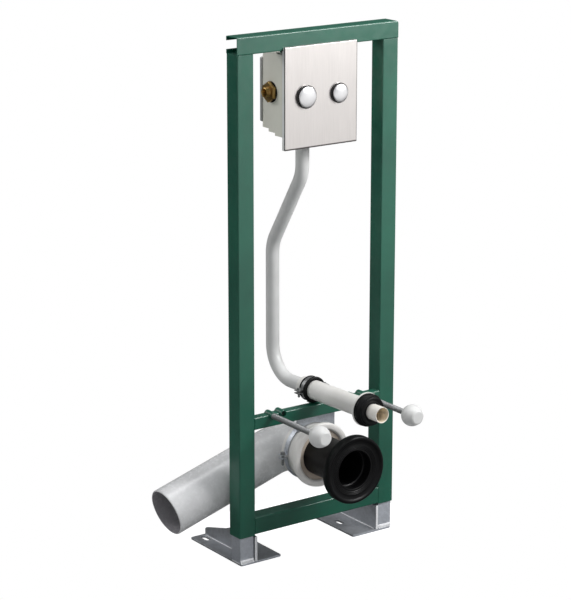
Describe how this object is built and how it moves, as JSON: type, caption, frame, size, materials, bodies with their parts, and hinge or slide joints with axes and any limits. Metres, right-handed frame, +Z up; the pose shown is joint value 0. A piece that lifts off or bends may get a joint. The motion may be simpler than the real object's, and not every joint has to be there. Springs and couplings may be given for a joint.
{
  "type": "wall hung toilet frame",
  "caption": "Green steel support frame for a wall hung toilet, with push-button flush valve, flush pipe, pan studs, drain bend and adjustable feet.",
  "frame": {"origin": "setting-out point on the finished floor: the frame's centre line at its front plane", "axes": "+X to the right seen from the front, +Y back towards the building wall, +Z up"},
  "size_m": [0.5163, 0.4034, 1.08],
  "materials": {
    "green": "satin epoxy coating",
    "zinc": "galvanised, dull spangle",
    "white_plastic": "satin moulded",
    "grey_plastic": "matte moulded",
    "dark_plastic": "matte moulded",
    "steel_plate": "vertically brushed stainless",
    "chrome": "polished",
    "brass": "dull turned",
    "rubber": "matte",
    "seal_rubber": "matte"
  },
  "bodies": {
    "frame": {"top_rail": "green", "left_post": "green", "right_post": "green", "mid_rail": "green", "bottom_rail": "green", "housing_hangers": "green", "left_outer_sleeve": "green", "left_inner_sleeve": "green", "right_outer_sleeve": "green", "right_inner_sleeve": "green", "left_stud": "zinc", "left_stud_cap": "white_plastic", "right_stud": "zinc", "right_stud_cap": "white_plastic", "valve_housing": "grey_plastic", "housing_back_cover": "grey_plastic", "face_plate": "steel_plate", "full_flush_collar": "dark_plastic", "half_flush_collar": "dark_plastic", "inlet_nut": "brass", "inlet_nipple": "brass", "flush_pipe": "white_plastic", "flush_connector": "white_plastic", "flush_nozzle": "white_plastic", "flush_gland": "rubber", "clip_rubber": "rubber", "clip_band": "zinc", "clip_screws": "zinc", "drain_collar": "white_plastic", "drain_seal": "seal_rubber", "drain_bend": "white_plastic", "drain_pipe": "white_plastic", "pan_cup": "rubber", "drain_bracket": "zinc", "drain_strap": "zinc", "strap_screw": "zinc", "inlet_gasket": "rubber"},
    "full_button": {"full_flush_button": "chrome"},
    "half_button": {"half_flush_button": "chrome"},
    "left_foot": {"left_base_plate": "zinc", "left_foot_upright": "zinc", "left_foot_gusset": "zinc"},
    "right_foot": {"right_base_plate": "zinc", "right_foot_upright": "zinc", "right_foot_gusset": "zinc"}
  },
  "joints": [
    {"name": "full_flush_push", "type": "slide", "parent": "frame", "child": "full_button", "axis": [0, 1, 0], "range_m": [0, 0.004], "stiffness_N_per_m": 1500, "springref_m": -0.004},
    {"name": "half_flush_push", "type": "slide", "parent": "frame", "child": "half_button", "axis": [0, 1, 0], "range_m": [0, 0.004], "stiffness_N_per_m": 1500, "springref_m": -0.004},
    {"name": "left_foot_extend", "type": "slide", "parent": "frame", "child": "left_foot", "axis": [0, 0, -1], "range_m": [0, 0.15]},
    {"name": "right_foot_extend", "type": "slide", "parent": "frame", "child": "right_foot", "axis": [0, 0, -1], "range_m": [0, 0.15]}
  ]
}
